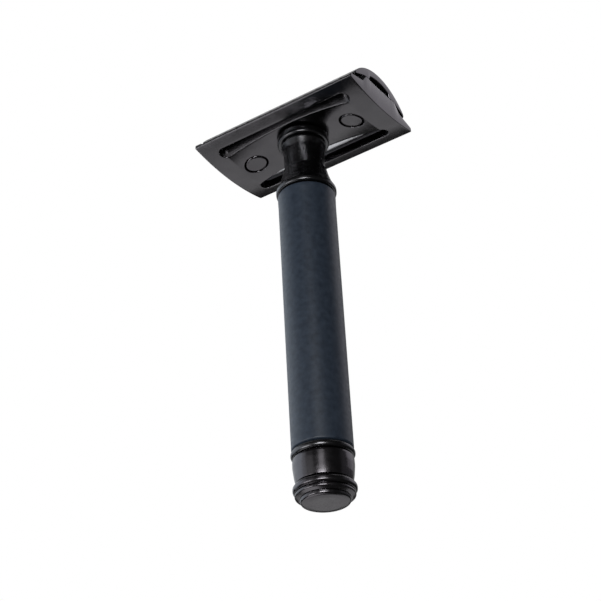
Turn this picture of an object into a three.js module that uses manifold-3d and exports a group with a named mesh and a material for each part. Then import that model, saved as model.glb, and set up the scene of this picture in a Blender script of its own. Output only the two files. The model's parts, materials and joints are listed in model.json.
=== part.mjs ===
// Three-piece double-edge safety razor: cap, blade and base plate clamped on a sleeved handle.
// Millimetres. +Z runs up the handle to the head, X along the blade, Y across it.
// The origin is the centre of the flat end of the knob, on which the razor can stand.
import * as THREE from 'three';
import { mergeVertices, mergeGeometries } from 'three/addons/utils/BufferGeometryUtils.js';
import Module from 'manifold-3d';

const wasm = await Module();
wasm.setup();

// ---- driving dimensions ----
const GAP = 0.2; // clearance left between pieces that meet
const PLATE_Z = 90.6; // level of the base plate's four lower corners
const HEAD_LENGTH = 43; // base plate, along the blade
const PLATE_WIDTH = 25.8; // over the two safety bars
const CAP_LENGTH = 42.6;
const CAP_HALF_WIDTH = 10.4;
const CAP_TOP = 8.2; // top of the cap above PLATE_Z
const CAP_TIP = 3.0; // outer corner of the cap's long edge above PLATE_Z
const CAP_RECESS = 6.35; // ceiling of the hollow under the cap, above PLATE_Z
const BOSS_WALL = 0.8; // wall of the cap's bosses around the pins, and a little more at the stud
const BULGE = 1.5; // how far the plate's underside hangs below its corners at mid width
const ARCH_RISE = 1.96; // height of the shallow arch cut along the middle of the underside
const ARCH_HALF_SPAN = 16.8;
const BAR_TIP = 0.85; // thickness of a safety bar at its outer edge
const ROOT_Y = 7.5; // where a safety bar meets the platform
const ROOT_Z = 2.0;
const PLATFORM_Y = 6.0; // outer corner of the platform that carries the blade
const PLATFORM_Z = 4.15;
const SLOT_INNER = 6.6; // lather slots, one along each safety bar
const SLOT_OUTER = 9.8;
const SLOT_HALF_LENGTH = 17.7;
const SCALLOPS = 13; // drain notches along each safety bar
const SCALLOP_PITCH = 3.15;
const SCALLOP_R = 1.3;
const SCALLOP_DEPTH = 0.42;
const PIN_X = 13.3; // the two pins that line up cap, blade and plate
const PIN_R = 2.5;
const PIN_TOP = 96.8;
const STUD_R = 2.5; // M5 x 0.8 stud
const THREAD_PITCH = 0.8;
const THREAD_DEPTH = 0.45;
const STUD_BOTTOM = 80.4;
const STUD_TOP = 95.4;
const BLADE_THICKNESS = 0.1;
const BLADE_GAP = 0.08; // left above and below the clamped blade
const BLADE_SLOPE = 0.46; // fall of the bent blade from platform to edge
const BLADE_LENGTH = 42.4;
const BLADE_HALF_WIDTH = 10.85; // as bent under the cap
const BLADE_EDGE_LENGTH = 37.4;
const TAB_HALF_WIDTH = 6.2;
const BLADE_SLOT_HALF_LENGTH = 17.4;
const BLADE_SLOT_HALF_WIDTH = 1.2;
const NECK_R = 4.63;
const NECK_BOTTOM = 66; // lower end of the spigot inside the core tube
const FLANGE_R = 5.2;
const FLANGE_BOTTOM = 88.12;
const FLANGE_TOP = 88.75;
const COLLAR_R = 5.95;
const COLLAR_TOP = 90.75;
const INSERT_R = 3.4; // threaded brass insert in the neck
const INSERT_BOTTOM = 79.2;
const INSERT_TOP = 88.4;
const SHOULDER_SEAT = 77.2; // top of the core tube's seat inside the shoulder ring
const RIM_R = 6.84; // rim of the bell-shaped shoulder ring
const RIM_Z = 75.45;
const SHOULDER_TOP = 81.4;
const GRIP_R = 6.46;
const GRIP_BOTTOM = 11.75;
const GRIP_TOP = 74.6;
const SEAL_SECTION = 0.14; // radius of the ring that closes the gap over the grip
const SEAL_R = 5.75;
const TUBE_R = 5.0; // core tube under the sleeve
const TUBE_WALL = 0.9;
const TUBE_BOTTOM = 8.6;
const SPIGOT_R = TUBE_R - TUBE_WALL - GAP; // what slides inside the core tube
const ROD_R = 1.6; // tie rod from neck to knob
const ROD_BOTTOM = 5;
const ROD_TOP = 73.5;
const WEIGHT_BOTTOM = 15;
const WEIGHT_TOP = 40;
const BEAD_R = 6.67;
const BEAD_Z = 10.75;
const BEAD_HALF_HEIGHT = 0.77;
const FERRULE_R = 6.4;
const FERRULE_BOTTOM = 4.4;
const FERRULE_TOP = 9.75;
const BUSH_BOTTOM = 8.0;
const BUSH_TOP = 12.4;
const NUT_ACROSS = 6.4;
const NUT_BOTTOM = 5.5;
const NUT_TOP = 7.8;
const KNOB_R = 6.61; // rim of the end knob
const KNOB_RIM_Z = 3.15;
const KNOB_TOP = 4.15;
const KNOB_COLLAR_R = 4.9;
const KNOB_COLLAR_TOP = 6.9;
const END_FACE_R = 4.8;
const END_FACE_EDGE = 0.6; // rounding around the end face

// ---- finishes ----
const FINISHES = {
  satinBlack: { color: 0x47464a, roughness: 0.45, metalness: 0.6 },
  glossBlack: { color: 0x121317, roughness: 0.18, metalness: 0.5 },
  softGrip: { color: 0x23262f, roughness: 0.75, metalness: 0 },
  gunmetal: { color: 0x4a494d, roughness: 0.35, metalness: 0.8 },
  steel: { color: 0xb9bbbf, roughness: 0.25, metalness: 1 },
  brass: { color: 0xb08d4a, roughness: 0.35, metalness: 1 },
  seal: { color: 0x0b0b0c, roughness: 0.85, metalness: 0 },
};
const material = (name) => new THREE.MeshStandardMaterial(FINISHES[name]);

const razor = new THREE.Group();
function addPart(name, geometry, finish) {
  const mesh = new THREE.Mesh(geometry, material(finish));
  mesh.name = name;
  razor.add(mesh);
}

// ---- solids: closed meshes joined and cut by manifold-3d ----
function solid(geometry) {
  const bare = geometry.clone();
  bare.deleteAttribute('normal');
  bare.deleteAttribute('uv');
  const merged = mergeVertices(bare, 1e-5);
  const vertProperties = new Float32Array(merged.attributes.position.array);
  const triVerts = new Uint32Array(merged.index.array);
  return new wasm.Manifold(new wasm.Mesh({ numProp: 3, vertProperties, triVerts }));
}

function toGeometry(manifold) {
  const mesh = manifold.getMesh();
  const geometry = new THREE.BufferGeometry();
  geometry.setAttribute('position', new THREE.BufferAttribute(mesh.vertProperties, 3));
  geometry.setIndex(new THREE.BufferAttribute(mesh.triVerts, 1));
  geometry.computeVertexNormals();
  return geometry;
}

const point = (x, y) => new THREE.Vector2(x, y);

// A turned piece: profile points are [radius, z], listed counter-clockwise from the bottom.
function turned(profile, segments = 32) {
  const points = profile.map(([r, z]) => point(r, z));
  if (points[0].x > 0 || points.at(-1).x > 0) points.push(points[0].clone());
  return solid(new THREE.LatheGeometry(points, segments).rotateX(Math.PI / 2));
}

const ring = (inner, outer, bottom, top, segments = 28) =>
  turned([[inner, bottom], [outer, bottom], [outer, top], [inner, top]], segments);

const rod = (radius, bottom, top, segments = 28) =>
  turned([[0, bottom], [radius, bottom], [radius, top], [0, top]], segments);

// Points on a rounded bead: an ellipse arc from angle a to angle b, in degrees from +r.
function beadArc(centreR, centreZ, radialR, axialR, a, b, steps) {
  return Array.from({ length: steps + 1 }, (_, i) => {
    const angle = THREE.MathUtils.degToRad(a + ((b - a) * i) / steps);
    return [centreR + radialR * Math.cos(angle), centreZ + axialR * Math.sin(angle)];
  });
}

// A closed outline in Y and Z, drawn out along X and centred on it.
function extrudedAlongX(outline, length) {
  const shape = new THREE.Shape(outline.map(([y, z]) => point(y, z)));
  const geometry = new THREE.ExtrudeGeometry(shape, { depth: length, bevelEnabled: false });
  const turn = new THREE.Matrix4().makeBasis(
    new THREE.Vector3(0, 1, 0), new THREE.Vector3(0, 0, 1), new THREE.Vector3(1, 0, 0));
  return solid(geometry.applyMatrix4(turn).translate(-length / 2, 0, 0));
}

// A closed outline in X and Y, drawn up from bottom to top.
function extrudedUp(shape, bottom, top, curveSegments = 10) {
  const settings = { depth: top - bottom, bevelEnabled: false, curveSegments };
  return solid(new THREE.ExtrudeGeometry(shape, settings).translate(0, 0, bottom));
}

// A slot with round ends, as a shape in X and Y.
function stadium(halfLength, yLow, yHigh) {
  const r = (yHigh - yLow) / 2;
  const shape = new THREE.Shape();
  shape.moveTo(-halfLength + r, yLow);
  shape.lineTo(halfLength - r, yLow);
  shape.absarc(halfLength - r, yLow + r, r, -Math.PI / 2, Math.PI / 2, false);
  shape.lineTo(-halfLength + r, yHigh);
  shape.absarc(-halfLength + r, yLow + r, r, Math.PI / 2, (3 * Math.PI) / 2, false);
  return shape;
}

const THROUGH_HEAD = [PLATE_Z - 5, PLATE_Z + 10]; // reach of a cutter that goes right through

// ---- base plate ----
const span = (low, high, steps) =>
  Array.from({ length: steps + 1 }, (_, i) => low + ((high - low) * i) / steps);

// Underside of the plate: a shallow bulge across its width.
const undersideZ = (y) => PLATE_Z - BULGE * (1 - ((2 * y) / PLATE_WIDTH) ** 2);
// The arch lifts the middle of the underside between the slots.
const archLift = (x) => Math.max(0, ARCH_RISE * (1 - (x / ARCH_HALF_SPAN) ** 2));

// The space under the arched underside, as a grid of columns from well below up to it.
function archCutter() {
  const xs = span(-HEAD_LENGTH / 2 - 1, HEAD_LENGTH / 2 + 1, 24);
  const ys = span(-SLOT_INNER - 1, SLOT_INNER + 1, 8);
  const low = PLATE_Z - 20;
  const cover = new THREE.BoxGeometry(1, 1, 1, xs.length - 1, ys.length - 1, 1);
  const position = cover.attributes.position;
  for (let i = 0; i < position.count; i += 1) {
    const x = xs[Math.round((position.getX(i) + 0.5) * (xs.length - 1))];
    const y = ys[Math.round((position.getY(i) + 0.5) * (ys.length - 1))];
    const z = position.getZ(i) < 0 ? low : undersideZ(y) + archLift(x);
    position.setXYZ(i, x, y, z);
  }
  return solid(cover);
}

function basePlate() {
  const half = PLATE_WIDTH / 2;
  const below = span(-half, half, 20).map((y) => [y, undersideZ(y)]);
  const bar = [[half + 0.05, PLATE_Z + 0.35], [half - 0.15, PLATE_Z + BAR_TIP]];
  const rise = [[ROOT_Y + 0.3, PLATE_Z + ROOT_Z], [ROOT_Y - 0.1, PLATE_Z + ROOT_Z + 0.25]];
  const edge = [[PLATFORM_Y, PLATE_Z + PLATFORM_Z], [PLATFORM_Y - 1.4, PLATE_Z + PLATFORM_Z]];
  const dish = [[PLATFORM_Y - 1.9, PLATE_Z + PLATFORM_Z - 0.35]];
  const right = [...bar, ...rise, ...edge, ...dish];
  const left = right.map(([y, z]) => [-y, z]).reverse();
  let plate = extrudedAlongX([...below, ...right, ...left], HEAD_LENGTH);
  plate = plate.subtract(archCutter());
  for (const side of [-1, 1]) {
    const low = Math.min(side * SLOT_INNER, side * SLOT_OUTER);
    const slot = stadium(SLOT_HALF_LENGTH, low, low + SLOT_OUTER - SLOT_INNER);
    plate = plate.subtract(extrudedUp(slot, ...THROUGH_HEAD, 8));
    plate = plate.subtract(scallops(side));
    const pinHole = rod(PIN_R + GAP, ...THROUGH_HEAD);
    plate = plate.subtract(pinHole.translate([side * PIN_X, 0, 0]));
  }
  const reliefR = COLLAR_R + 0.35;
  const seatZ = COLLAR_TOP + GAP;
  plate = plate.subtract(rod(reliefR, THROUGH_HEAD[0], seatZ)).add(rod(reliefR, seatZ, PLATE_Z + 2));
  return plate.subtract(rod(STUD_R + GAP, ...THROUGH_HEAD));
}

// Shallow notches across the upper edge of one safety bar.
function scallops(side) {
  const length = 2.6;
  const shapes = [];
  for (let i = 0; i < SCALLOPS; i += 1) {
    const x = (i - (SCALLOPS - 1) / 2) * SCALLOP_PITCH;
    const notch = new THREE.CylinderGeometry(SCALLOP_R, SCALLOP_R, length, 16);
    notch.translate(x, side * (PLATE_WIDTH / 2), PLATE_Z + BAR_TIP + SCALLOP_R - SCALLOP_DEPTH);
    shapes.push(notch);
  }
  return solid(mergeGeometries(shapes));
}

// ---- blade ----
// Height of the blade's lower face across its width, as the cap bends it over the platform.
function bladeZ(y) {
  const flat = PLATE_Z + PLATFORM_Z + BLADE_GAP;
  const past = Math.max(0, Math.abs(y) - PLATFORM_Y + 0.1);
  return flat - (BLADE_SLOPE * past ** 2) / (past + 0.5);
}

function bladeOutline() {
  const end = BLADE_LENGTH / 2;
  const edge = BLADE_EDGE_LENGTH / 2;
  const corners = [[edge, BLADE_HALF_WIDTH], [edge, TAB_HALF_WIDTH + 1.2],
    [edge - 0.7, TAB_HALF_WIDTH + 0.6], [edge - 0.7, TAB_HALF_WIDTH],
    [end - 0.6, TAB_HALF_WIDTH], [end, TAB_HALF_WIDTH - 0.6]];
  const quarter = (sx, sy) => corners.map(([x, y]) => point(sx * x, sy * y));
  const outline = [...quarter(1, 1), ...quarter(1, -1).reverse(),
    ...quarter(-1, -1), ...quarter(-1, 1).reverse()].reverse();
  return new THREE.Shape(outline);
}

function blade() {
  const ys = span(-BLADE_HALF_WIDTH - 1, BLADE_HALF_WIDTH + 1, 36);
  const lower = ys.map((y) => [y, bladeZ(y)]);
  const upper = ys.map((y) => [y, bladeZ(y) + BLADE_THICKNESS]).reverse();
  const strip = extrudedAlongX([...lower, ...upper], BLADE_LENGTH + 2);
  const slot = stadium(BLADE_SLOT_HALF_LENGTH, -BLADE_SLOT_HALF_WIDTH, BLADE_SLOT_HALF_WIDTH);
  let sheet = strip.intersect(extrudedUp(bladeOutline(), ...THROUGH_HEAD));
  sheet = sheet.subtract(extrudedUp(slot, ...THROUGH_HEAD, 6));
  const holes = [[0, STUD_R + 0.5], [-PIN_X, PIN_R + 0.15], [PIN_X, PIN_R + 0.15]];
  for (const [x, r] of holes) {
    sheet = sheet.subtract(rod(r, ...THROUGH_HEAD).translate([x, 0, 0]));
  }
  return sheet;
}

// ---- cap, with its stud and pins ----
const bladeTop = (y) => bladeZ(y) + BLADE_THICKNESS + BLADE_GAP;

function cap() {
  const rise = CAP_TOP - CAP_TIP;
  const radius = (CAP_HALF_WIDTH ** 2 + rise ** 2) / (2 * rise);
  const centreZ = PLATE_Z + CAP_TOP - radius;
  const dome = span(CAP_HALF_WIDTH, -CAP_HALF_WIDTH, 30)
    .map((y) => [y, centreZ + Math.sqrt(radius ** 2 - y ** 2)]);
  const tip = CAP_HALF_WIDTH - 0.12;
  const land = span(tip - 0.35, 4.4, 8).map((y) => [y, bladeTop(y)]);
  const recess = span(3.9, 0, 6).map((y) => [y, PLATE_Z + CAP_RECESS - 0.045 * y ** 2]);
  const half = [[tip, bladeTop(tip) + 0.18], ...land, ...recess];
  const mirrored = half.map(([y, z]) => [-y, z]);
  const outline = [...dome, ...mirrored, ...half.slice(0, -1).reverse()];
  let shell = extrudedAlongX(outline, CAP_LENGTH);
  const ceiling = PLATE_Z + CAP_RECESS + 0.25;
  const floor = bladeTop(0);
  const bosses = [[0, STUD_R + 0.3, STUD_TOP + 1], [-PIN_X, PIN_R, PIN_TOP + GAP],
    [PIN_X, PIN_R, PIN_TOP + GAP]];
  for (const [x, r] of bosses) shell = shell.add(rod(r + BOSS_WALL, floor, ceiling).translate([x, 0, 0]));
  for (const [x, , top] of bosses) {
    shell = shell.subtract(rod(PIN_R + GAP, floor - 1, top).translate([x, 0, 0]));
  }
  return shell;
}

// Alignment pin, cut off flush with the arched underside of the plate.
function alignmentPin(side) {
  const chamfer = 0.25;
  const bottom = PLATE_Z - BULGE - 1;
  const pin = turned([[0, bottom], [PIN_R, bottom], [PIN_R, PIN_TOP - chamfer],
    [PIN_R - chamfer, PIN_TOP], [0, PIN_TOP]], 36);
  return pin.translate([side * PIN_X, 0, 0]).subtract(archCutter());
}

// Threaded stud: the radius follows a rounded V that climbs one pitch in each turn.
function capStud() {
  const around = 12;
  const chamfer = 0.7;
  const zs = span(STUD_BOTTOM, STUD_TOP, 75);
  const stud = new THREE.CylinderGeometry(1, 1, 1, around, zs.length - 1).rotateX(Math.PI / 2);
  const position = stud.attributes.position;
  for (let i = 0; i < position.count; i += 1) {
    const x = position.getX(i);
    const y = position.getY(i);
    const z = zs[Math.round((position.getZ(i) + 0.5) * (zs.length - 1))];
    const turn = ((z / THREAD_PITCH - Math.atan2(y, x) / (2 * Math.PI)) % 1 + 1) % 1;
    const depth = THREAD_DEPTH * Math.abs(2 * turn - 1);
    const taper = Math.max(0, chamfer - (z - STUD_BOTTOM));
    const onAxis = Math.hypot(x, y) < 0.5;
    const r = onAxis ? 0 : STUD_R - Math.max(depth, taper);
    const angle = Math.atan2(y, x);
    position.setXYZ(i, r * Math.cos(angle), r * Math.sin(angle), z);
  }
  return solid(stud);
}

// ---- handle ----
// The neck swells slightly towards its flange.
function neck() {
  const tip = 0.4;
  const step = SHOULDER_SEAT + GAP;
  const swell = [[NECK_R, 84.5], [NECK_R + 0.04, 86.3], [NECK_R + 0.12, 87.5], [NECK_R + 0.2, FLANGE_BOTTOM]];
  const body = turned([
    [0, NECK_BOTTOM], [SPIGOT_R - tip, NECK_BOTTOM], [SPIGOT_R, NECK_BOTTOM + tip], [SPIGOT_R, step],
    [NECK_R, step], ...swell, [FLANGE_R - 0.1, FLANGE_BOTTOM], [FLANGE_R, FLANGE_BOTTOM + 0.12],
    [FLANGE_R, FLANGE_TOP - 0.12], [FLANGE_R - 0.12, FLANGE_TOP], [0, FLANGE_TOP]]);
  return body
    .subtract(rod(INSERT_R + GAP, INSERT_BOTTOM - 0.4, FLANGE_TOP + 1))
    .subtract(rod(ROD_R + GAP, NECK_BOTTOM - 1, ROD_TOP + 0.5));
}

const threadInsert = () => ring(STUD_R + 0.08, INSERT_R, INSERT_BOTTOM, INSERT_TOP, 40);

function seatCollar() {
  const bottom = FLANGE_TOP + 0.12;
  const edge = 0.28;
  return turned([[STUD_R + GAP, bottom],
    ...beadArc(COLLAR_R - edge, bottom + edge, edge, edge, -90, 0, 3),
    ...beadArc(COLLAR_R - edge, COLLAR_TOP - edge, edge, edge, 0, 90, 3),
    [STUD_R + GAP, COLLAR_TOP]]);
}

// Bell-shaped ring that spreads from the neck out to the width of the grip.
function shoulderRing() {
  const inner = NECK_R + GAP;
  const bottom = GRIP_TOP + 0.35;
  const bell = [[6.55, 76.3], [6.05, 77.4], [5.6, 78.6], [5.28, 79.8], [5.08, 80.6]];
  return turned([[TUBE_R + GAP, bottom], [RIM_R - 0.5, bottom],
    ...beadArc(RIM_R - 0.45, RIM_Z, 0.45, 0.42, -65, 50, 5), ...bell,
    [inner + 0.06, SHOULDER_TOP], [inner, SHOULDER_SEAT], [TUBE_R + GAP, SHOULDER_SEAT]]);
}

function gripSleeve() {
  const inner = TUBE_R + GAP;
  const lip = 0.05;
  const top = beadArc(GRIP_R - 0.45, GRIP_TOP - 0.7, 0.45 + lip, 0.7, 0, 90, 4);
  return turned([[inner, GRIP_BOTTOM], [GRIP_R - 0.3, GRIP_BOTTOM], [GRIP_R, GRIP_BOTTOM + 0.4],
    [GRIP_R, GRIP_TOP - 2.6], ...top, [inner, GRIP_TOP]], 40);
}

const coreTube = () => ring(TUBE_R - TUBE_WALL, TUBE_R, TUBE_BOTTOM, SHOULDER_SEAT - GAP, 40);

function tieRod() {
  const chamfer = 0.3;
  return turned([[0, ROD_BOTTOM], [ROD_R - chamfer, ROD_BOTTOM], [ROD_R, ROD_BOTTOM + chamfer],
    [ROD_R, ROD_TOP - chamfer], [ROD_R - chamfer, ROD_TOP], [0, ROD_TOP]], 24);
}

function balanceWeight() {
  const chamfer = 0.4;
  return turned([[ROD_R + GAP, WEIGHT_BOTTOM], [SPIGOT_R - chamfer, WEIGHT_BOTTOM],
    [SPIGOT_R, WEIGHT_BOTTOM + chamfer], [SPIGOT_R, WEIGHT_TOP - chamfer],
    [SPIGOT_R - chamfer, WEIGHT_TOP], [ROD_R + GAP, WEIGHT_TOP]], 28);
}

const weightPad = (bottom, top) => ring(ROD_R + GAP, SPIGOT_R, bottom, top, 32);

// Rubber ring in the gap between the grip and the shoulder ring.
function sealRing() {
  const centreZ = GRIP_TOP + 0.175;
  return turned(beadArc(SEAL_R, centreZ, SEAL_SECTION, SEAL_SECTION, 0, 360, 6).slice(0, -1), 32);
}

function beadRing() {
  const inner = TUBE_R + GAP;
  const bulge = 0.7;
  return turned([[inner, BEAD_Z - BEAD_HALF_HEIGHT],
    ...beadArc(BEAD_R - bulge, BEAD_Z, bulge, BEAD_HALF_HEIGHT, -80, 80, 10),
    [inner, BEAD_Z + BEAD_HALF_HEIGHT]], 40);
}

// The ferrule swells from the knob up towards the bead ring.
function ferrule() {
  const inner = TUBE_R + GAP;
  const swell = [[5.9, FERRULE_BOTTOM], [5.98, 4.9], [6.18, 6.0], [6.33, 7.0], [FERRULE_R, 8.1],
    [FERRULE_R - 0.02, 9.1], [FERRULE_R - 0.1, 9.6], [FERRULE_R - 0.28, FERRULE_TOP]];
  return turned([[inner, FERRULE_BOTTOM], ...swell, [inner, FERRULE_TOP]], 40);
}

// Bush that centres the core tube inside the ferrule and carries the lock nut.
function ferruleBush() {
  const step = TUBE_BOTTOM - GAP;
  return turned([[ROD_R + GAP, BUSH_BOTTOM], [TUBE_R, BUSH_BOTTOM], [TUBE_R, step], [SPIGOT_R, step],
    [SPIGOT_R, BUSH_TOP], [ROD_R + GAP, BUSH_TOP]], 28);
}

function lockNut() {
  const cornerR = NUT_ACROSS / 2 / Math.cos(Math.PI / 6);
  const hexagon = new THREE.Shape(Array.from({ length: 6 }, (_, i) => {
    const angle = (i * Math.PI) / 3;
    return point(cornerR * Math.cos(angle), cornerR * Math.sin(angle));
  }));
  return extrudedUp(hexagon, NUT_BOTTOM, NUT_TOP).subtract(rod(ROD_R + GAP, NUT_BOTTOM - 1, NUT_TOP + 1, 24));
}

// End knob: a rim, a rounded step and a boss under it, and a flat end to stand on.
function endKnob() {
  const bossR = END_FACE_R + END_FACE_EDGE;
  const boss = [[0, 0],
    ...beadArc(END_FACE_R, END_FACE_EDGE, END_FACE_EDGE, END_FACE_EDGE, -90, 0, 5), [bossR, 1.0]];
  const step = [[bossR - 0.06, 1.08], ...beadArc(5.55, 1.6, 0.7, 0.52, -75, 60, 7)];
  const rim = beadArc(5.95, KNOB_RIM_Z, KNOB_R - 5.95, 0.8, -72, 60, 8);
  const outside = [...boss, ...step, [5.9, 2.3], ...rim, [6.0, KNOB_TOP], [0, KNOB_TOP]];
  const collar = rod(KNOB_COLLAR_R, KNOB_TOP - 0.1, KNOB_COLLAR_TOP, 40);
  const pocket = rod(3.9, NUT_BOTTOM - 0.3, KNOB_COLLAR_TOP + 1, 32);
  const blindHole = rod(ROD_R + GAP, 1.5, NUT_BOTTOM, 24);
  return turned(outside, 40).add(collar).subtract(pocket).subtract(blindHole);
}

// ---- assembly ----
addPart('cap', toGeometry(cap()), 'satinBlack');
addPart('cap_stud', toGeometry(capStud()), 'steel');
addPart('alignment_pin_left', toGeometry(alignmentPin(-1)), 'satinBlack');
addPart('alignment_pin_right', toGeometry(alignmentPin(1)), 'satinBlack');
addPart('blade', toGeometry(blade()), 'steel');
addPart('base_plate', toGeometry(basePlate()), 'satinBlack');
addPart('seat_collar', toGeometry(seatCollar()), 'glossBlack');
addPart('neck', toGeometry(neck()), 'glossBlack');
addPart('neck_thread_insert', toGeometry(threadInsert()), 'brass');
addPart('shoulder_ring', toGeometry(shoulderRing()), 'glossBlack');
addPart('upper_o_ring', toGeometry(sealRing()), 'seal');
addPart('grip_sleeve', toGeometry(gripSleeve()), 'softGrip');
addPart('core_tube', toGeometry(coreTube()), 'steel');
addPart('tie_rod', toGeometry(tieRod()), 'steel');
addPart('balance_weight', toGeometry(balanceWeight()), 'steel');
addPart('upper_weight_pad', toGeometry(weightPad(WEIGHT_TOP + GAP, 42)), 'seal');
addPart('lower_weight_pad', toGeometry(weightPad(BUSH_TOP + GAP, WEIGHT_BOTTOM - GAP)), 'seal');
addPart('bead_ring', toGeometry(beadRing()), 'glossBlack');
addPart('ferrule', toGeometry(ferrule()), 'gunmetal');
addPart('ferrule_bush', toGeometry(ferruleBush()), 'brass');
addPart('lock_nut', toGeometry(lockNut()), 'steel');
addPart('end_knob', toGeometry(endKnob()), 'gunmetal');

export default razor;
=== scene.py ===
"""Looks of a double-edge safety razor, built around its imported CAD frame.

Sizes of the razor are millimetres here, and a mesh turns them into metres when it is made.
The floor, the lights and the camera are placed in metres.
"""
import json
import math

import bmesh
import bpy
import numpy as np
from mathutils import Matrix, Vector
from mathutils.geometry import delaunay_2d_cdt


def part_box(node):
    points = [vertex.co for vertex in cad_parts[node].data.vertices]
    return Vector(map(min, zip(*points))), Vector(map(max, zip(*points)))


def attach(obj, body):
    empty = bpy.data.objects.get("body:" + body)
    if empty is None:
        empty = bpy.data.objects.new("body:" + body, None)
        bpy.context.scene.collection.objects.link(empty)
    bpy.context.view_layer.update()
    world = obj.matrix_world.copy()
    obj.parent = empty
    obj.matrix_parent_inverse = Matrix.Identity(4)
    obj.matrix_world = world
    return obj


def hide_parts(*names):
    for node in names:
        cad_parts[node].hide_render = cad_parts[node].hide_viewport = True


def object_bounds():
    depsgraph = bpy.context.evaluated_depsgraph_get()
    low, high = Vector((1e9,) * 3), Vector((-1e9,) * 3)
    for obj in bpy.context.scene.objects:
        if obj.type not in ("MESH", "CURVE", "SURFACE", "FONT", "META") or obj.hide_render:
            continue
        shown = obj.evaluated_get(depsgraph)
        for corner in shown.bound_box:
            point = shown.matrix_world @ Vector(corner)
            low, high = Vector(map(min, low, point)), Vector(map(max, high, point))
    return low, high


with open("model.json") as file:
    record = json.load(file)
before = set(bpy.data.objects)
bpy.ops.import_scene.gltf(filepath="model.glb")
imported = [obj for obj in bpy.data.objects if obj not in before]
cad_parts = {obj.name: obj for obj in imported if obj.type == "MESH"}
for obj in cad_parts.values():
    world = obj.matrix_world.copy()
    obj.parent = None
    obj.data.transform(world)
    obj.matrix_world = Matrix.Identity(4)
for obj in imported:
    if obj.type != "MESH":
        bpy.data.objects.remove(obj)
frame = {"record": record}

CAD_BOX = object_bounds()
MM = 0.001
RECORD = frame["record"]
BODY_OF = {node: body for body, nodes in RECORD["behaviour"]["bodies"].items() for node in nodes}


def box(node):
    """Lowest and highest corner of a CAD node, in millimetres."""
    low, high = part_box(node)
    return low / MM, high / MM


# ---- sizes of the head and the bores, the rest comes from the CAD boxes ----
PLATE_LOW, PLATE_HIGH = box("base_plate")
CAP_HIGH = box("cap")[1]
BLADE_HIGH = box("blade")[1]
HALF_WIDTH = PLATE_HIGH.y
FINE = 0.25  # spacing of mesh points over the head

BULGE = 1.5  # how far the middle of the plate's underside hangs below its corners
LEVEL = PLATE_LOW.z + BULGE  # height of the plate's four lower corners
ARCH_RISE = 1.96  # how far the underside lifts between the slots
ARCH_HALF_SPAN = 16.8  # distance along the head at which that lift ends
PLATFORM_Y = 6.0  # edge of the platform under the blade
PLATFORM_Z = 4.15  # height of the platform above LEVEL
PLATFORM_DISH = 0.35  # how much lower the middle of the platform is
PLATE_EDGE = 0.14  # rounding of every edge of the plate
PLATE_CORNER = 0.3  # rounding of the plate's four corners, seen from above

SLOT_INNER = 6.6  # distance of a lather slot's inner side from the middle of the plate
SLOT_OUTER = 9.8  # and of its outer side
SLOT_HALF_LENGTH = 17.7
SLOT_LEAN = 0.49  # how far a slot's inner wall leans outwards, for each millimetre of height
SLOT_BLEND = 1.3  # distance from the wall over which the lean dies out
LEAN_START = 1.0  # height above LEVEL that only the upper face reaches near a slot

SCALLOPS = 13  # notches along each safety bar
SCALLOP_PITCH = 3.15
SCALLOP_R = 1.3
SCALLOP_DEPTH = 0.42
SCALLOP_Z = 0.85  # height above LEVEL that the notches are cut down from

PIN_X = 13.3  # distance of each pin from the stud
PIN_R = 2.5
PIN_GAP = 0.34  # between a pin and its hole in the plate
STUD_R = 2.5
STUD_GAP = 0.2  # between the stud and its hole in the plate or the collar
THREAD_PITCH = 0.8
THREAD_DEPTH = 0.45

BLADE_THICKNESS = 0.1
BLADE_GAP = 0.08  # between the blade and the metal above and below it
BLADE_SLOPE = 0.46  # how steeply the blade falls far from the platform
BEND_Y = PLATFORM_Y - 0.1  # where the blade starts to bend down
BEVEL = 0.7  # width of the ground cutting edge
CAP_TIP = 3.0  # height of the dome's long edges above LEVEL

NECK_R = 4.63  # radius of the neck where it is slimmest
SLEEVE_BORE = 5.2  # bore of the sleeve, the bead ring and the ferrule
ROD_BORE = 1.8  # bore of the parts that the tie rod passes through


# ---- outlines ----
def rounded(corners, closed=True, steps=6):
    """Turns corners (x, y, radius) into points, with an arc of that radius at each corner."""
    points = []
    count = len(corners)
    for i, (x, y, radius) in enumerate(corners):
        here = Vector((x, y))
        back = Vector(corners[i - 1][:2]) - here
        ahead = Vector(corners[(i + 1) % count][:2]) - here
        half = back.angle(ahead) / 2
        end = not closed and i in (0, count - 1)
        straight = half > math.pi / 2 - 1e-4
        if radius == 0 or end or straight:
            points.append(here)
            continue
        reach = min(radius / math.tan(half), 0.49 * back.length, 0.49 * ahead.length)
        arc_r = reach * math.tan(half)
        centre = here + (back.normalized() + ahead.normalized()).normalized() * arc_r / math.sin(half)
        first = here + back.normalized() * reach - centre
        last = here + ahead.normalized() * reach - centre
        points += [centre + first.slerp(last, k / steps) * arc_r for k in range(steps + 1)]
    return points


def spread(points, spacing):
    """A closed outline with points added, so that no stretch is longer than spacing."""
    dense = []
    for i, here in enumerate(points):
        ahead = points[(i + 1) % len(points)]
        count = max(1, math.ceil((ahead - here).length / spacing))
        dense += [here.lerp(ahead, k / count) for k in range(count)]
    return dense


def circle(x, y, radius, count=72):
    """Points of a circle, counter-clockwise."""
    turns = (2 * math.pi * k / count for k in range(count))
    return [Vector((x + radius * math.cos(t), y + radius * math.sin(t))) for t in turns]


def rectangle(half_x, half_y, radius):
    """Points of a rectangle with round corners, counter-clockwise."""
    signs = ((1, 1), (-1, 1), (-1, -1), (1, -1))
    return spread(rounded([(sx * half_x, sy * half_y, radius) for sx, sy in signs]), FINE)


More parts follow.
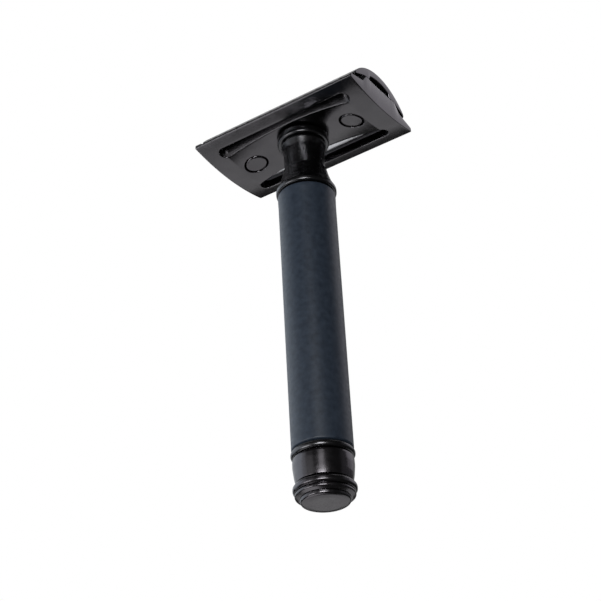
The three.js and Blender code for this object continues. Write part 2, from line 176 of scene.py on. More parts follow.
def stadium(half_length, low, high):
    """Points of a slot with round ends, counter-clockwise."""
    radius = (high - low) / 2 - 0.001
    corners = ((1, high), (-1, high), (-1, low), (1, low))
    return spread(rounded([(sx * half_length, y, radius) for sx, y in corners], steps=16), FINE)


def inset(loop, distance):
    """Moves a loop's points to its left, which is the side where the material is."""
    moved = []
    for i, here in enumerate(loop):
        along = (loop[(i + 1) % len(loop)] - loop[i - 1]).normalized()
        moved.append(here + Vector((-along.y, along.x)) * distance)
    return moved


def inside(loop, points):
    """Which of the points (an array of x, y) lie inside a loop."""
    x, y = points[:, 0], points[:, 1]
    odd = np.zeros(len(points), bool)
    for a, b in zip(loop, loop[1:] + loop[:1]):
        if a.y != b.y:
            crosses = (a.y > y) != (b.y > y)
            odd ^= crosses & (x < a.x + (y - a.y) * (b.x - a.x) / (b.y - a.y))
    return odd


def section(corners):
    """Height as a function of distance from the middle, through corners (y, z, radius).

    It comes with the distances at which the slope changes.
    """
    line = rounded(corners, closed=False)
    ys = [p.x for p in line]
    zs = [p.y for p in line]
    return (lambda y: float(np.interp(abs(y), ys, zs))), ys


# ---- meshes ----
def closed_mesh(points, faces):
    """A bmesh in metres from points in millimetres, with its faces pointing out."""
    bm = bmesh.new()
    verts = [bm.verts.new(Vector(p) * MM) for p in points]
    for face in faces:
        bm.faces.new([verts[i] for i in face])
    bmesh.ops.remove_doubles(bm, verts=bm.verts, dist=1e-8)
    bmesh.ops.dissolve_degenerate(bm, dist=1e-9, edges=bm.edges)
    bmesh.ops.recalc_face_normals(bm, faces=bm.faces)
    return bm


def turned(outline, segments=192):
    """Turns a closed outline of (radius, z) points about Z."""
    rings = len(outline)
    points = []
    for s in range(segments):
        turn = 2 * math.pi * s / segments
        points += [(r * math.cos(turn), r * math.sin(turn), z) for r, z in outline]
    faces = []
    for s in range(segments):
        here, ahead = s * rings, (s + 1) % segments * rings
        for k in range(rings):
            nxt = (k + 1) % rings
            if outline[k][0] or outline[nxt][0]:
                faces.append((here + k, ahead + k, ahead + nxt, here + nxt))
    return closed_mesh(points, faces)


def filled(loops, xs, ys):
    """Triangles over the first loop and around the others, with points where xs and ys cross.

    Returns the points, the triangles, and for each point its number along the loops or None.
    """
    border = [p for loop in loops for p in loop]
    edges, first = [], 0
    for loop in loops:
        edges += [(first + k, first + (k + 1) % len(loop)) for k in range(len(loop))]
        first += len(loop)
    near = np.array([p[:] for p in border])
    grid = [Vector((x, y)) for x in xs for y in ys]
    room = 0.4 * FINE
    clear = [p for p in grid if np.min(np.hypot(*(near - np.array(p[:])).T)) > room]
    points, _, triangles, origins, _, _ = delaunay_2d_cdt(border + clear, edges, [], 1, 1e-6)
    middles = np.array([sum((points[i] for i in t), Vector((0, 0)))[:] for t in triangles]) / 3
    in_hole = np.any([inside(loop, middles) for loop in loops[1:]] or [[False] * len(middles)], axis=0)
    triangles = [t for t, hidden in zip(triangles, in_hole) if not hidden]
    numbers = [came[0] if came and came[0] < len(border) else None for came in origins]
    return points, triangles, numbers


def slab(outline, holes, bottom, top, edge, xs, ys):
    """A body between two height fields, over an outline with holes, with rounded edges."""
    loops = [outline] + [hole[::-1] for hole in holes]
    steps = 4
    insets = [edge * (1 - math.cos(math.pi / 2 * k / steps)) for k in range(steps + 1)]
    flat, starts = [], []
    for distance in insets:
        starts.append([])
        for loop in loops:
            starts[-1].append(len(flat))
            flat += [(p, distance) for p in inset(loop, distance)]
    inner = [[p for p, _ in flat[first:first + len(loop)]] for first, loop in zip(starts[-1], loops)]
    inner_ids = [first + k for first, loop in zip(starts[-1], loops) for k in range(len(loop))]
    ids = []
    made, triangles, numbers = filled(inner, xs, ys)
    for p, number in zip(made, numbers):
        if number is None:
            ids.append(len(flat))
            flat.append((Vector(p), edge))
        else:
            ids.append(inner_ids[number])

    def lift(distance):
        return edge - math.sqrt(max(0.0, edge ** 2 - (edge - min(distance, edge)) ** 2))

    count = len(flat)
    points = [(p.x, p.y, bottom(p.x, p.y) + lift(d)) for p, d in flat]
    points += [(p.x, p.y, top(p.x, p.y) - lift(d)) for p, d in flat]
    faces = []
    for triangle in triangles:
        face = [ids[i] for i in triangle]
        faces += [face, [i + count for i in face]]
    for i, loop in enumerate(loops):
        for k in range(len(loop)):
            ahead = (k + 1) % len(loop)
            for lower, upper in zip(starts, starts[1:]):
                face = [lower[i] + k, lower[i] + ahead, upper[i] + ahead, upper[i] + k]
                faces += [face, [j + count for j in face]]
            a, b = starts[0][i] + k, starts[0][i] + ahead
            faces.append((a, b, b + count, a + count))
    return closed_mesh(points, faces)


def joined(*bodies):
    """Several closed bodies as one bmesh."""
    whole = bmesh.new()
    for bm in bodies:
        mesh = bpy.data.meshes.new("part")
        bm.to_mesh(mesh)
        bm.free()
        whole.from_mesh(mesh)
        bpy.data.meshes.remove(mesh)
    return whole


def shifted(bm, x):
    """Moves a bmesh along X."""
    bmesh.ops.translate(bm, verts=bm.verts, vec=Vector((x, 0, 0)) * MM)
    return bm


def piece(node, bm, material, crease=40):
    """Shows a fine mesh in place of a CAD node, on the node's body."""
    name = node + "_fine"
    mesh = bpy.data.meshes.new(name)
    bm.to_mesh(mesh)
    bm.free()
    mesh.shade_smooth()
    mesh.set_sharp_from_angle(angle=math.radians(crease))
    mesh.materials.append(material)
    made = bpy.data.objects.new(name, mesh)
    bpy.context.scene.collection.objects.link(made)
    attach(made, BODY_OF[node])
    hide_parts(node)
    return made


# ---- materials ----
NOISE_LOW, NOISE_HIGH = 0.3, 0.7  # stretch of the noise that covers the whole range of a finish


class Nodes:
    """The node tree of a material or a world."""

    def __init__(self, owner):
        owner.use_nodes = True
        self.tree = owner.node_tree

    def add(self, kind, inputs=None, **settings):
        """Makes a node. Its inputs are values, or sockets to link from."""
        made = self.tree.nodes.new(kind)
        for name, value in settings.items():
            setattr(made, name, value)
        for name, value in (inputs or {}).items():
            self.feed(made.inputs[name], value)
        return made

    def feed(self, socket, value):
        if isinstance(value, bpy.types.NodeSocket):
            self.tree.links.new(value, socket)
        else:
            socket.default_value = value

    def math(self, operation, a, b=0.0):
        return self.add("ShaderNodeMath", {0: a, 1: b}, operation=operation).outputs[0]


class Finish(Nodes):
    """A procedural material: a Principled shader fed by noise in the object's own space."""

    def __init__(self, name, **values):
        self.material = bpy.data.materials.new(name)
        super().__init__(self.material)
        self.shader = self.tree.nodes["Principled BSDF"]
        for socket, value in values.items():
            self.shader.inputs[socket.replace("_", " ")].default_value = value
        self.place = self.add("ShaderNodeTexCoord").outputs["Object"]

    def noise(self, size, detail=3.0, stretch=(1, 1, 1)):
        """Noise from 0 to 1 with features of about size millimetres, longer where stretch is."""
        scale = [1 / (size * MM * s) for s in stretch]
        mapped = self.add("ShaderNodeMapping", {"Vector": self.place, "Scale": scale})
        values = {"Vector": mapped.outputs[0], "Scale": 1.0, "Detail": detail}
        return self.add("ShaderNodeTexNoise", values).outputs["Fac"]

    def around(self, size):
        """Fine lines left by turning about Z: noise of the radius and the height alone."""
        rise = 1.37  # lets the lines change along the height as well as along the radius
        x, y, z = self.add("ShaderNodeSeparateXYZ", {"Vector": self.place}).outputs
        squares = [self.math("MULTIPLY", part, part) for part in (x, y)]
        radius = self.math("SQRT", self.math("ADD", *squares))
        line = self.math("ADD", radius, self.math("MULTIPLY", z, rise))
        values = {"W": line, "Scale": 1 / (size * MM), "Detail": 2.0}
        return self.add("ShaderNodeTexNoise", values, noise_dimensions="1D").outputs["Fac"]

    def colour(self, source, dark, light):
        """Base colour from dark to light as source goes from low to high."""
        ramp = self.add("ShaderNodeValToRGB", {"Fac": source})
        ends = ((dark, NOISE_LOW), (light, NOISE_HIGH))
        for element, (value, position) in zip(ramp.color_ramp.elements, ends):
            element.color = (*value, 1)
            element.position = position
        self.feed(self.shader.inputs["Base Color"], ramp.outputs["Color"])

    def roughness(self, source, low, high):
        """Roughness from low to high as source goes from low to high."""
        values = {"Value": source, "From Min": NOISE_LOW, "From Max": NOISE_HIGH,
                  "To Min": low, "To Max": high}
        result = self.add("ShaderNodeMapRange", values).outputs["Result"]
        self.feed(self.shader.inputs["Roughness"], result)

    def bump(self, source, depth, below=None):
        """Relief of depth millimetres from source, on top of the relief below."""
        values = {"Height": source, "Strength": 1.0, "Distance": depth * MM}
        if below:
            values["Normal"] = below
        normal = self.add("ShaderNodeBump", values).outputs["Normal"]
        self.feed(self.shader.inputs["Normal"], normal)
        return normal


def satin_black():
    """Blasted casting with a dark satin coating."""
    finish = Finish("satin_black", Metallic=1.0)
    finish.colour(finish.noise(6.0, detail=4), (0.112, 0.109, 0.116), (0.135, 0.131, 0.140))
    finish.roughness(finish.noise(1.6), 0.15, 0.21)
    grain = finish.bump(finish.noise(0.16, detail=2), 0.0006)
    finish.bump(finish.noise(1.6), 0.0012, below=grain)
    return finish.material


def gloss_black():
    """Turned metal polished under a smooth black coating."""
    finish = Finish("gloss_black", Metallic=1.0)
    finish.colour(finish.noise(5.0), (0.088, 0.088, 0.093), (0.112, 0.112, 0.118))
    finish.roughness(finish.noise(1.2), 0.22, 0.28)
    finish.bump(finish.around(0.12), 0.0001)
    return finish.material


def soft_grip():
    """Matt soft-touch sleeve, blue-black, with a powdery grain."""
    finish = Finish("soft_grip", Sheen_Weight=0.05, Sheen_Roughness=0.5, Specular_IOR_Level=0.5,
                    Sheen_Tint=(0.6, 0.75, 1.0, 1.0))
    finish.colour(finish.noise(1.3, detail=8), (0.019, 0.028, 0.044), (0.035, 0.049, 0.072))
    finish.roughness(finish.noise(0.8), 0.36, 0.48)
    grain = finish.bump(finish.noise(0.11, detail=2), 0.003)
    finish.bump(finish.noise(0.9), 0.004, below=grain)
    return finish.material


def gunmetal():
    """Polished dark coating over turned brass."""
    finish = Finish("gunmetal", Metallic=1.0)
    finish.colour(finish.noise(4.0), (0.105, 0.100, 0.108), (0.130, 0.125, 0.134))
    finish.roughness(finish.noise(1.0), 0.20, 0.27)
    lines = finish.bump(finish.around(0.10), 0.0003)
    finish.bump(finish.noise(1.3), 0.002, below=lines)
    return finish.material


def blade_steel():
    """Thin stainless strip with a fine grain along its length."""
    finish = Finish("blade_steel", Metallic=1.0)
    grain = finish.noise(0.12, stretch=(30, 1, 1))
    finish.colour(grain, (0.62, 0.63, 0.66), (0.74, 0.75, 0.78))
    finish.roughness(grain, 0.24, 0.38)
    finish.bump(grain, 0.001)
    return finish.material


def machined(name, dark, light, roughness):
    """Bare metal with turning lines."""
    finish = Finish(name, Metallic=1.0)
    lines = finish.around(0.15)
    finish.colour(finish.noise(2.5, detail=5), dark, light)
    finish.roughness(lines, roughness, roughness + 0.15)
    finish.bump(lines, 0.003)
    return finish.material


def seal_rubber():
    """Black rubber with a dusty bloom."""
    finish = Finish("seal_rubber", Sheen_Weight=0.2)
    finish.colour(finish.noise(1.0, detail=5), (0.010, 0.010, 0.011), (0.020, 0.020, 0.021))
    finish.roughness(finish.noise(0.5), 0.65, 0.85)
    finish.bump(finish.noise(0.2), 0.01)
    return finish.material


SATIN = satin_black()
GLOSS = gloss_black()
GRIP = soft_grip()
GUNMETAL = gunmetal()
STRIP = blade_steel()
STEEL = machined("stud_steel", (0.46, 0.46, 0.48), (0.58, 0.58, 0.60), 0.25)
BRASS = machined("brass", (0.60, 0.43, 0.17), (0.72, 0.54, 0.24), 0.28)
ALUMINIUM = machined("inner_aluminium", (0.62, 0.62, 0.64), (0.76, 0.76, 0.78), 0.32)
RUBBER = seal_rubber()


# ---- base plate ----
def underside(x, y):
    """Lower face of the plate: a bulge across it, lifted by an arch between the slots."""
    bulge = BULGE * (1 - (y / HALF_WIDTH) ** 2)
    arch = max(0.0, ARCH_RISE * (1 - (x / ARCH_HALF_SPAN) ** 2))
    return LEVEL - bulge + (arch if abs(y) < (SLOT_INNER + SLOT_OUTER) / 2 else 0.0)


PLATE_TOP, PLATE_ROWS = section([
    (0, LEVEL + PLATFORM_Z - PLATFORM_DISH, 0), (4.1, LEVEL + PLATFORM_Z - PLATFORM_DISH, 0.3),
    (4.6, LEVEL + PLATFORM_Z, 0.3), (PLATFORM_Y, LEVEL + PLATFORM_Z, 0.25),
    (7.4, LEVEL + 2.25, 0.4), (7.8, LEVEL + 2.0, 0.4), (HALF_WIDTH - 0.3, LEVEL + 1.0, 0.1),
    (HALF_WIDTH, LEVEL + 0.4, 0)])


def plate_top(x, y):
    """Upper face of the plate, with the row of shallow notches along each safety bar."""
    height = PLATE_TOP(y)
    if abs(y) < HALF_WIDTH - SCALLOP_R:
        return height
    half_row = (SCALLOPS - 1) / 2
    nearest = max(-half_row, min(half_row, round(x / SCALLOP_PITCH))) * SCALLOP_PITCH
    across = min(abs(x - nearest), SCALLOP_R)
    centre = LEVEL + SCALLOP_Z - SCALLOP_DEPTH + SCALLOP_R
    return min(height, centre - math.sqrt(SCALLOP_R ** 2 - across ** 2))


def rows(half, extra=()):
    """Mesh rows from -half to half, with extra rows on both sides of the middle."""
    even = np.arange(-half, half + 0.01, 2 * FINE)
    both = [sign * y for y in extra for sign in (-1, 1)]
    return sorted(set(np.round([*even, *both], 3)))


def columns(half):
    """Mesh columns from -half to half."""
    return np.arange(-half, half + 0.01, FINE)


def lean(vert):
    """Moves the top of a slot's inner wall outwards, so that the wall faces a little downwards."""
    x, y, z = vert.co / MM
    near_wall = max(0.0, 1 - abs(abs(y) - SLOT_INNER) / SLOT_BLEND)
    if z < LEVEL + LEAN_START or abs(x) > SLOT_HALF_LENGTH or not near_wall:
        return
    moved = abs(y) + SLOT_LEAN * (z - underside(x, y)) * near_wall
    drop = PLATE_TOP(abs(y)) - PLATE_TOP(moved)
    vert.co = Vector((x, math.copysign(moved, y), z - max(0.0, drop))) * MM


def base_plate():
    """Plate with a slot along each side, and holes for the stud and the two pins."""
    outline = rectangle(PLATE_HIGH.x, HALF_WIDTH, PLATE_CORNER)
    holes = [stadium(SLOT_HALF_LENGTH, SLOT_INNER, SLOT_OUTER),
             stadium(SLOT_HALF_LENGTH, -SLOT_OUTER, -SLOT_INNER),
             circle(0, 0, STUD_R + STUD_GAP)]
    holes += [circle(side * PIN_X, 0, PIN_R + PIN_GAP) for side in (-1, 1)]
    plate = slab(outline, holes, underside, plate_top, PLATE_EDGE,
                 columns(PLATE_HIGH.x), rows(HALF_WIDTH, PLATE_ROWS))
    for vert in plate.verts:
        lean(vert)
    return plate


# ---- blade ----
def blade_low(x, y):
    """Lower face of the blade as the cap bends it over the platform."""
    easing = 0.5
    past = max(0.0, abs(y) - BEND_Y)
    return LEVEL + PLATFORM_Z + BLADE_GAP - BLADE_SLOPE * past ** 2 / (past + easing)


def hone(y):
    """How much each face gives way to the ground bevel of the cutting edge."""
    most = 0.44 * BLADE_THICKNESS
    return max(0.0, 1 - (BLADE_HIGH.y - abs(y)) / BEVEL) * most


def blade():
    """Thin blade with a tab at each end, and a slot that clears the stud and the pins."""
    end, wide = BLADE_HIGH.x, BLADE_HIGH.y
    shoulder, tab = end - 2.5, 6.2
    slot_half_length, slot_half_height = 17.4, 1.2
    rounds = [(0, STUD_R + 0.5), (PIN_X, PIN_R + 0.15), (-PIN_X, PIN_R + 0.15)]
    quarter = [(shoulder, wide, 0.05), (shoulder, tab + 1.2, 0.4), (shoulder - 0.7, tab + 0.6, 0.3),
               (shoulder - 0.7, tab, 0.3), (end - 0.6, tab, 0.4), (end, tab - 0.6, 0.4)]
    corners = quarter + [(x, -y, r) for x, y, r in quarter[::-1]]
    corners += [(-x, -y, r) for x, y, r in quarter] + [(-x, y, r) for x, y, r in quarter[::-1]]
    outline = spread(rounded(corners), FINE)[::-1]
    slot = merged_slot(slot_half_length, slot_half_height, rounds)
    return slab(outline, [slot], lambda x, y: blade_low(x, y) + hone(y),
                lambda x, y: blade_low(x, y) + BLADE_THICKNESS - hone(y), 0.02,
                columns(end), rows(wide, [BEND_Y, wide - BEVEL]))


def merged_slot(half_length, half_height, rounds):
    """A slot joined with round holes (x, radius): its half height is the largest of them at x."""
    def reach(x):
        from_end = max(0.0, half_length - abs(x))
        best = math.sqrt(max(0.0, half_height ** 2 - max(0.0, half_height - from_end) ** 2))
        for centre, radius in rounds:
            best = max(best, math.sqrt(max(0.0, radius ** 2 - (x - centre) ** 2)))
        return best

    xs = half_length * np.sin(np.linspace(-math.pi / 2, math.pi / 2, 400))
    upper = [Vector((x, reach(x))) for x in xs[::-1]]
    lower = [Vector((x, -reach(x))) for x in xs[1:-1]]
    return upper + lower


# ---- cap, stud and pins ----
def cap():
    """Dome over the blade, hollow inside, with a boss around the stud and around each pin."""
    half_length, half_width = CAP_HIGH.x, CAP_HIGH.y
    rise = CAP_HIGH.z - LEVEL - CAP_TIP
    radius = (half_width ** 2 + rise ** 2) / (2 * rise)
    recess_top, recess_curve = LEVEL + 6.35, 0.045
    recess_edge, recess_wall = 4.4, 0.5

    def dome(x, y):
        return CAP_HIGH.z - radius + math.sqrt(radius ** 2 - y ** 2)

    def seat(x, y):
        land = blade_low(x, y) + BLADE_THICKNESS + BLADE_GAP
        recess = recess_top - recess_curve * y ** 2
        blend = min(1.0, max(0.0, (recess_edge - abs(y)) / recess_wall))
        return land + (recess - land) * blend

    wall_rows = [recess_edge - step for step in (0.5, 0.4, 0.1, 0)]
    shell = slab(rectangle(half_length, half_width, 0.45), [], seat, dome, 0.16,
                 columns(half_length), rows(half_width, [*wall_rows, BEND_Y]))
    stud_boss = boss(0, STUD_R + 0.05, 3.6)
    pin_bosses = [boss(side * PIN_X, PIN_R + 0.02, 3.3) for side in (-1, 1)]
    return joined(shell, stud_boss, *pin_bosses)


def boss(x, inner, outer):
    """Tube that comes down inside the cap to the top of the blade."""
    bottom, top = blade_low(0, 0) + BLADE_THICKNESS + BLADE_GAP, LEVEL + 6.6
    outline = rounded([(inner, bottom, 0.15), (outer, bottom, 0.2), (outer, top, 0), (inner, top, 0)])
    return shifted(turned(outline, 72), x)


def alignment_pin(side):
    """Pin whose lower end is cut to the arch of the plate."""
    _, high = box("alignment_pin_right")
    return slab(circle(side * PIN_X, 0, PIN_R, 96), [], underside, lambda x, y: high.z, 0.3,
                side * PIN_X + np.arange(-PIN_R, PIN_R, FINE), rows(PIN_R))


def thread_depth(turn):
    """Depth of a rounded V thread, 0 at the crest and 1 at the root, over one turn."""
    return 0.5 - 0.5 * math.cos(2 * math.pi * turn)


def threaded_rod(radius, low, high):
    """Threaded rod with a chamfer at both ends."""
    chamfer, around, per_pitch = 0.7, 64, 10
    count = math.ceil((high - low) / THREAD_PITCH * per_pitch)
    points = [(0, 0, low)]
    for k in range(count + 1):
        z = low + (high - low) * k / count
        cut = max(0.0, chamfer - (z - low), chamfer - (high - z))
        for s in range(around):
            turn = s / around
            depth = max(cut, THREAD_DEPTH * thread_depth(z / THREAD_PITCH - turn))
            angle = 2 * math.pi * turn
            points.append(((radius - depth) * math.cos(angle), (radius - depth) * math.sin(angle), z))
    points.append((0, 0, high))
    last = len(points) - 1
    faces = []
    for s in range(around):
        ahead = (s + 1) % around
        faces.append((0, 1 + ahead, 1 + s))
        for k in range(count):
            row = 1 + k * around
            faces.append((row + s, row + ahead, row + around + ahead, row + around + s))
        faces.append((1 + count * around + s, 1 + count * around + ahead, last))
    return closed_mesh(points, faces)


# ---- handle, from the head down: outlines are corners (radius, height, rounding) ----
def neck():
    """Slim neck under a thin flange, bored for the thread insert, with its foot inside the ring."""
    low, high = box("neck")
    flange, flange_z = high.x, high.z - 0.63
    bore, bore_z = 3.6, high.z - 10
    hidden = box("shoulder_ring")[0].z + 3
    return turned(rounded([
        (0, low.z, 0), (3.5, low.z, 0.3), (3.9, low.z + 0.4, 0.2), (3.9, hidden, 0),
        (NECK_R, hidden, 0), (NECK_R, high.z - 4.2, 8), (NECK_R + 0.1, high.z - 1.9, 3),
        (min(NECK_R + 0.5, flange - 0.1), flange_z, 0.04), (flange, flange_z, 0.3),
        (flange, high.z, 0.28), (bore, high.z, 0.1), (bore, bore_z, 0), (0, bore_z, 0)]))


def seat_collar():
    """Thin collar between the neck and the plate."""
    low, high = box("seat_collar")
    inner = STUD_R + STUD_GAP
    return turned(rounded([(inner, low.z, 0.05), (high.x, low.z, 0.42), (high.x, high.z, 0.28),
                           (inner, high.z, 0.05)]))


def shoulder_ring():
    """Flared ring at the top of the sleeve, with a wider bore at its foot."""
    low, high = box("shoulder_ring")
    rim, inner = high.x, NECK_R + 0.06
    foot_bore, foot_z = 5.3, low.z + 2.3
    return turned(rounded([
        (foot_bore, low.z, 0), (rim, low.z, 0.48), (rim, low.z + 1.0, 0.45),
        (6.05, low.z + 2.5, 6), (5.35, low.z + 4.7, 8), (4.98, high.z, 0.1), (inner, high.z, 0.05),
        (inner, foot_z, 0), (foot_bore, foot_z, 0)]))


def grip_sleeve():
    """Long soft sleeve, a little wider at its top."""
    low, high = box("grip_sleeve")
    slim = high.x - 0.05
    return turned(rounded([
        (SLEEVE_BORE, low.z, 0), (slim, low.z, 0.35), (slim, high.z - 3, 8),
        (high.x, high.z - 0.9, 2), (high.x, high.z, 0.35), (SLEEVE_BORE, high.z, 0)]))


def ring_between(node, inner, edge):
    """A plain turned ring of a CAD node's height and radius."""
    low, high = box(node)
    return turned(rounded([(inner, low.z, edge), (high.x, low.z, edge), (high.x, high.z, edge),
                           (inner, high.z, edge)]))


def bead_ring():
    """Ring whose outside is half of an oval."""
    low, high = box("bead_ring")
    reach, half_height = 0.72, 0.77
    core, middle = high.x - reach, (low.z + high.z) / 2
    bead = [Vector((core + reach * math.cos(a), middle + half_height * math.sin(a)))
            for a in np.linspace(-1.5, 1.5, 24)]
    return turned([Vector((SLEEVE_BORE, low.z)), *bead, Vector((SLEEVE_BORE, high.z))])


def ferrule():
    """Barrel-shaped ferrule, widest near its top."""
    low, high = box("ferrule")
    widest = high.x
    return turned(rounded([
        (SLEEVE_BORE, low.z, 0), (widest - 0.5, low.z, 0.08), (widest - 0.22, low.z + 1.6, 5),
        (widest, low.z + 3.7, 6), (widest - 0.02, low.z + 4.9, 0.5), (widest - 0.1, high.z, 0.15),
        (SLEEVE_BORE, high.z, 0)]))


def end_knob():
    """Rim, rounded step and boss, down to the end that the razor can stand on."""
    low, high = box("end_knob")
    rim, collar = high.x, 4.9
    step_top, rim_top = low.z + 2.36, low.z + 4.15
    socket, socket_z = 3.9, high.z - 1.7
    rod_z = low.z + 1.5
    return turned(rounded([
        (0, low.z, 0), (3.4, low.z, 4), (4.6, low.z + 0.14, 2), (5.15, low.z + 0.4, 0.5),
        (5.25, low.z + 1.0, 0.1), (5.12, low.z + 1.1, 0.02),
        (5.5, low.z + 1.14, 0.1), (6.26, low.z + 1.6, 0.4), (6.25, low.z + 2.15, 0.35),
        (5.85, step_top, 0.03), (rim - 0.35, step_top, 0.35), (rim, low.z + 2.8, 0.5),
        (rim, low.z + 3.5, 0.6), (6.2, low.z + 4.0, 0.2), (5.9, rim_top, 0.1),
        (collar, rim_top, 0), (collar, high.z, 0.2), (socket, high.z, 0.1), (socket, socket_z, 0),
        (ROD_BORE, socket_z, 0), (ROD_BORE, rod_z, 0), (0, rod_z, 0)], steps=8))


def upper_o_ring():
    """Rubber ring of round section."""
    low, high = box("upper_o_ring")
    section_r = (high.z - low.z) / 2
    centre = Vector((high.x - section_r, (low.z + high.z) / 2))
    return turned([centre + p for p in circle(0, 0, section_r, 24)])


def lock_nut():
    """Hexagon with both faces chamfered to a circle."""
    low, high = box("lock_nut")
    corner = high.x
    flat = corner * math.cos(math.pi / 6)
    slope = 0.58
    hexagon = spread(circle(0, 0, corner, 6), 0.2)

    def chamfer(x, y):
        return max(0.0, math.hypot(x, y) - flat) * slope

    steps = np.arange(-corner, corner, FINE)
    return slab(hexagon, [circle(0, 0, ROD_BORE)], lambda x, y: low.z + chamfer(x, y),
                lambda x, y: high.z - chamfer(x, y), 0.05, steps, steps)


def tie_rod():
    """Plain rod through the middle of the handle."""
    low, high = box("tie_rod")
    return turned(rounded([(0, low.z, 0), (high.x, low.z, 0.3), (high.x, high.z, 0.3), (0, high.z, 0)]), 64)


piece("cap", cap(), SATIN, crease=50)
piece("cap_stud", threaded_rod(STUD_R, *(corner.z for corner in box("cap_stud"))), STEEL)
piece("alignment_pin_left", alignment_pin(-1), SATIN)
piece("alignment_pin_right", alignment_pin(1), SATIN)
piece("blade", blade(), STRIP)
piece("base_plate", base_plate(), SATIN, crease=50)
piece("seat_collar", seat_collar(), GLOSS)
piece("neck", neck(), GLOSS)
piece("neck_thread_insert", ring_between("neck_thread_insert", STUD_R + 0.08, 0.15), BRASS)
piece("shoulder_ring", shoulder_ring(), GLOSS)
piece("upper_o_ring", upper_o_ring(), RUBBER)
piece("grip_sleeve", grip_sleeve(), GRIP)
piece("core_tube", ring_between("core_tube", 4.1, 0.15), ALUMINIUM)
piece("tie_rod", tie_rod(), STEEL)
piece("balance_weight", ring_between("balance_weight", ROD_BORE, 0.4), STEEL)
piece("upper_weight_pad", ring_between("upper_weight_pad", ROD_BORE, 0.3), RUBBER)
piece("lower_weight_pad", ring_between("lower_weight_pad", ROD_BORE, 0.3), RUBBER)
piece("bead_ring", bead_ring(), GLOSS)
piece("ferrule", ferrule(), GUNMETAL)
piece("ferrule_bush", ring_between("ferrule_bush", ROD_BORE, 0.15), BRASS)
piece("lock_nut", lock_nut(), STEEL)
piece("end_knob", end_knob(), GUNMETAL)


# ---- stage ----
def floor():
    """Pale floor at the foot of the razor, with a glow of its own, for a camera above it only.

    Light and a view from below pass through it.
    """
    bm = bmesh.new()
    bmesh.ops.create_grid(bm, x_segments=8, y_segments=8, size=3.0)
    mesh = bpy.data.meshes.new("floor")
    bm.to_mesh(mesh)
    bm.free()
    made = bpy.data.objects.new("floor", mesh)
    made.location.z = CAD_BOX[0].z
    bpy.context.scene.collection.objects.link(made)
    material = bpy.data.materials.new("floor")
    nodes = Nodes(material)
    nodes.tree.nodes.clear()
    shaded = nodes.add("ShaderNodeBsdfDiffuse", {"Color": (0.3, 0.3, 0.3, 1)})
    glow = nodes.add("ShaderNodeEmission", {"Strength": 0.7})
    pale = nodes.add("ShaderNodeAddShader", {0: shaded.outputs[0], 1: glow.outputs[0]})
    clear = nodes.add("ShaderNodeBsdfTransparent")
    direct = nodes.add("ShaderNodeLightPath").outputs["Is Camera Ray"]
    below = nodes.add("ShaderNodeNewGeometry").outputs["Backfacing"]
    seen = nodes.math("GREATER_THAN", direct, below)
    mix = nodes.add("ShaderNodeMixShader", {"Fac": seen, 1: clear.outputs[0], 2: pale.outputs[0]})
    nodes.add("ShaderNodeOutputMaterial", {"Surface": mix.outputs[0]})
    mesh.materials.append(material)


def backdrop(seen, ambient):
    """White to the camera, and a weak even light on the razor."""
    world = bpy.data.worlds.new("studio")
    bpy.context.scene.world = world
    nodes = Nodes(world)
    nodes.tree.nodes.clear()
    dim, bright = (
        nodes.add("ShaderNodeBackground", {"Color": (1, 1, 1, 1), "Strength": strength}).outputs[0]
        for strength in (ambient, seen))
    direct = nodes.add("ShaderNodeLightPath").outputs["Is Camera Ray"]
    mix = nodes.add("ShaderNodeMixShader", {"Fac": direct, 1: dim, 2: bright})
    nodes.add("ShaderNodeOutputWorld", {"Surface": mix.outputs[0]})


def direction(azimuth, elevation):
    """Unit vector: azimuth 0 is -Y and 90 is +X, elevation is up from level, in degrees."""
    az, el = math.radians(azimuth), math.radians(elevation)
    return Vector((math.sin(az) * math.cos(el), -math.cos(az) * math.cos(el), math.sin(el)))


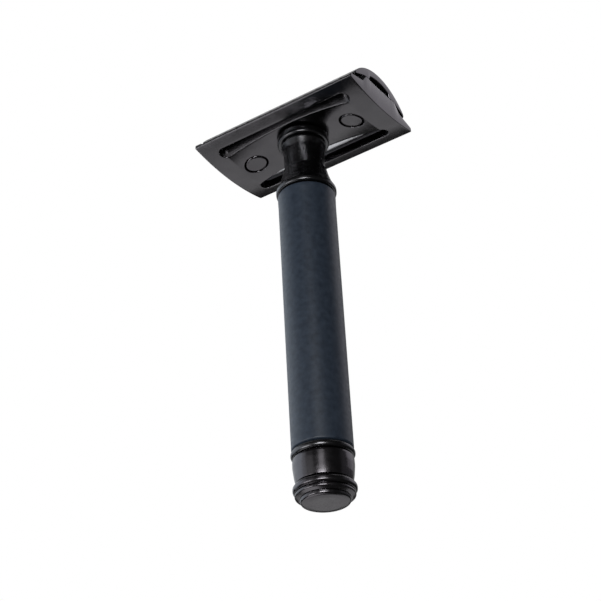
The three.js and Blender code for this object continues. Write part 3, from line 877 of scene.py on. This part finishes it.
def panel(name, azimuth, elevation, width, height, radiance, tint=(1, 1, 1)):
    """A soft light panel, hidden from the camera, one metre from the razor and facing it.

    Azimuth and elevation are those of direction(), and width and height are metres.
    """
    centre, distance = (CAD_BOX[0] + CAD_BOX[1]) / 2, 1.0
    data = bpy.data.lights.new(name, "AREA")
    data.shape = "RECTANGLE"
    data.size, data.size_y = width, height
    data.energy = radiance * math.pi * width * height
    data.color = tint
    light = bpy.data.objects.new(name, data)
    towards = direction(azimuth, elevation)
    light.location = centre + towards * distance
    light.rotation_mode = "QUATERNION"
    light.rotation_quaternion = towards.to_track_quat("Z", "Y")
    light.visible_camera = False
    bpy.context.scene.collection.objects.link(light)


def camera():
    """Looks up at the razor from below its foot, turned towards one end of the head."""
    lens, distance = 90.64, 0.32947  # millimetres on a 36 mm sensor, and metres
    azimuth, elevation, roll = 33.015, -30.651, math.radians(-3.338)
    back = direction(azimuth, elevation)
    right = (-back).cross(Vector((0, 0, 1))).normalized()
    up = right.cross(-back)
    x_axis = right * math.cos(roll) + up * math.sin(roll)
    y_axis = up * math.cos(roll) - right * math.sin(roll)
    aim = Vector((-0.00326, 0, 0.04878))
    pose = Matrix((x_axis, y_axis, back)).transposed().to_4x4()
    pose.translation = aim + back * distance
    data = bpy.data.cameras.new("camera")
    data.lens = lens
    data.sensor_width = 36
    data.clip_start = 0.01
    data.clip_end = 10
    made = bpy.data.objects.new("camera", data)
    made.matrix_world = pose
    bpy.context.scene.collection.objects.link(made)
    bpy.context.scene.camera = made


floor()
backdrop(seen=1.0, ambient=0.03)
panel("front_low", 25, -13, 0.46, 0.26, 12.0)
panel("front_high", 26, 14, 0.32, 0.46, 1.15)
panel("left_bank", -75, 9, 0.8, 1.1, 1.05, tint=(0.86, 0.93, 1.0))
panel("left_edge", -44, 4, 0.32, 1.0, 0.6, tint=(0.93, 0.96, 1.0))
panel("left_fill", -19, 2, 0.5, 0.8, 0.3)
panel("right_bank", 130, 10, 1.1, 0.7, 0.09, tint=(0.93, 0.9, 1.0))
panel("rear_low", 208, -36.5, 1.4, 0.67, 0.57)
panel("under_front", -31, -25, 0.5, 0.4, 3.4)
panel("under_left", 268, -63, 0.6, 0.6, 1.0)
panel("rear_high", 150, 32, 0.7, 0.6, 0.68, tint=(0.97, 0.94, 1.0))
panel("upper_left", -90, 62, 0.5, 0.5, 0.3)
panel("overhead", 205, 74, 0.9, 0.9, 0.6)
panel("back_left", 245, 22, 0.6, 0.8, 0.8, tint=(0.9, 0.95, 1.0))
panel("back_right", 188, 24, 0.6, 0.8, 0.3)
camera()
bpy.context.scene.view_settings.view_transform = "Standard"
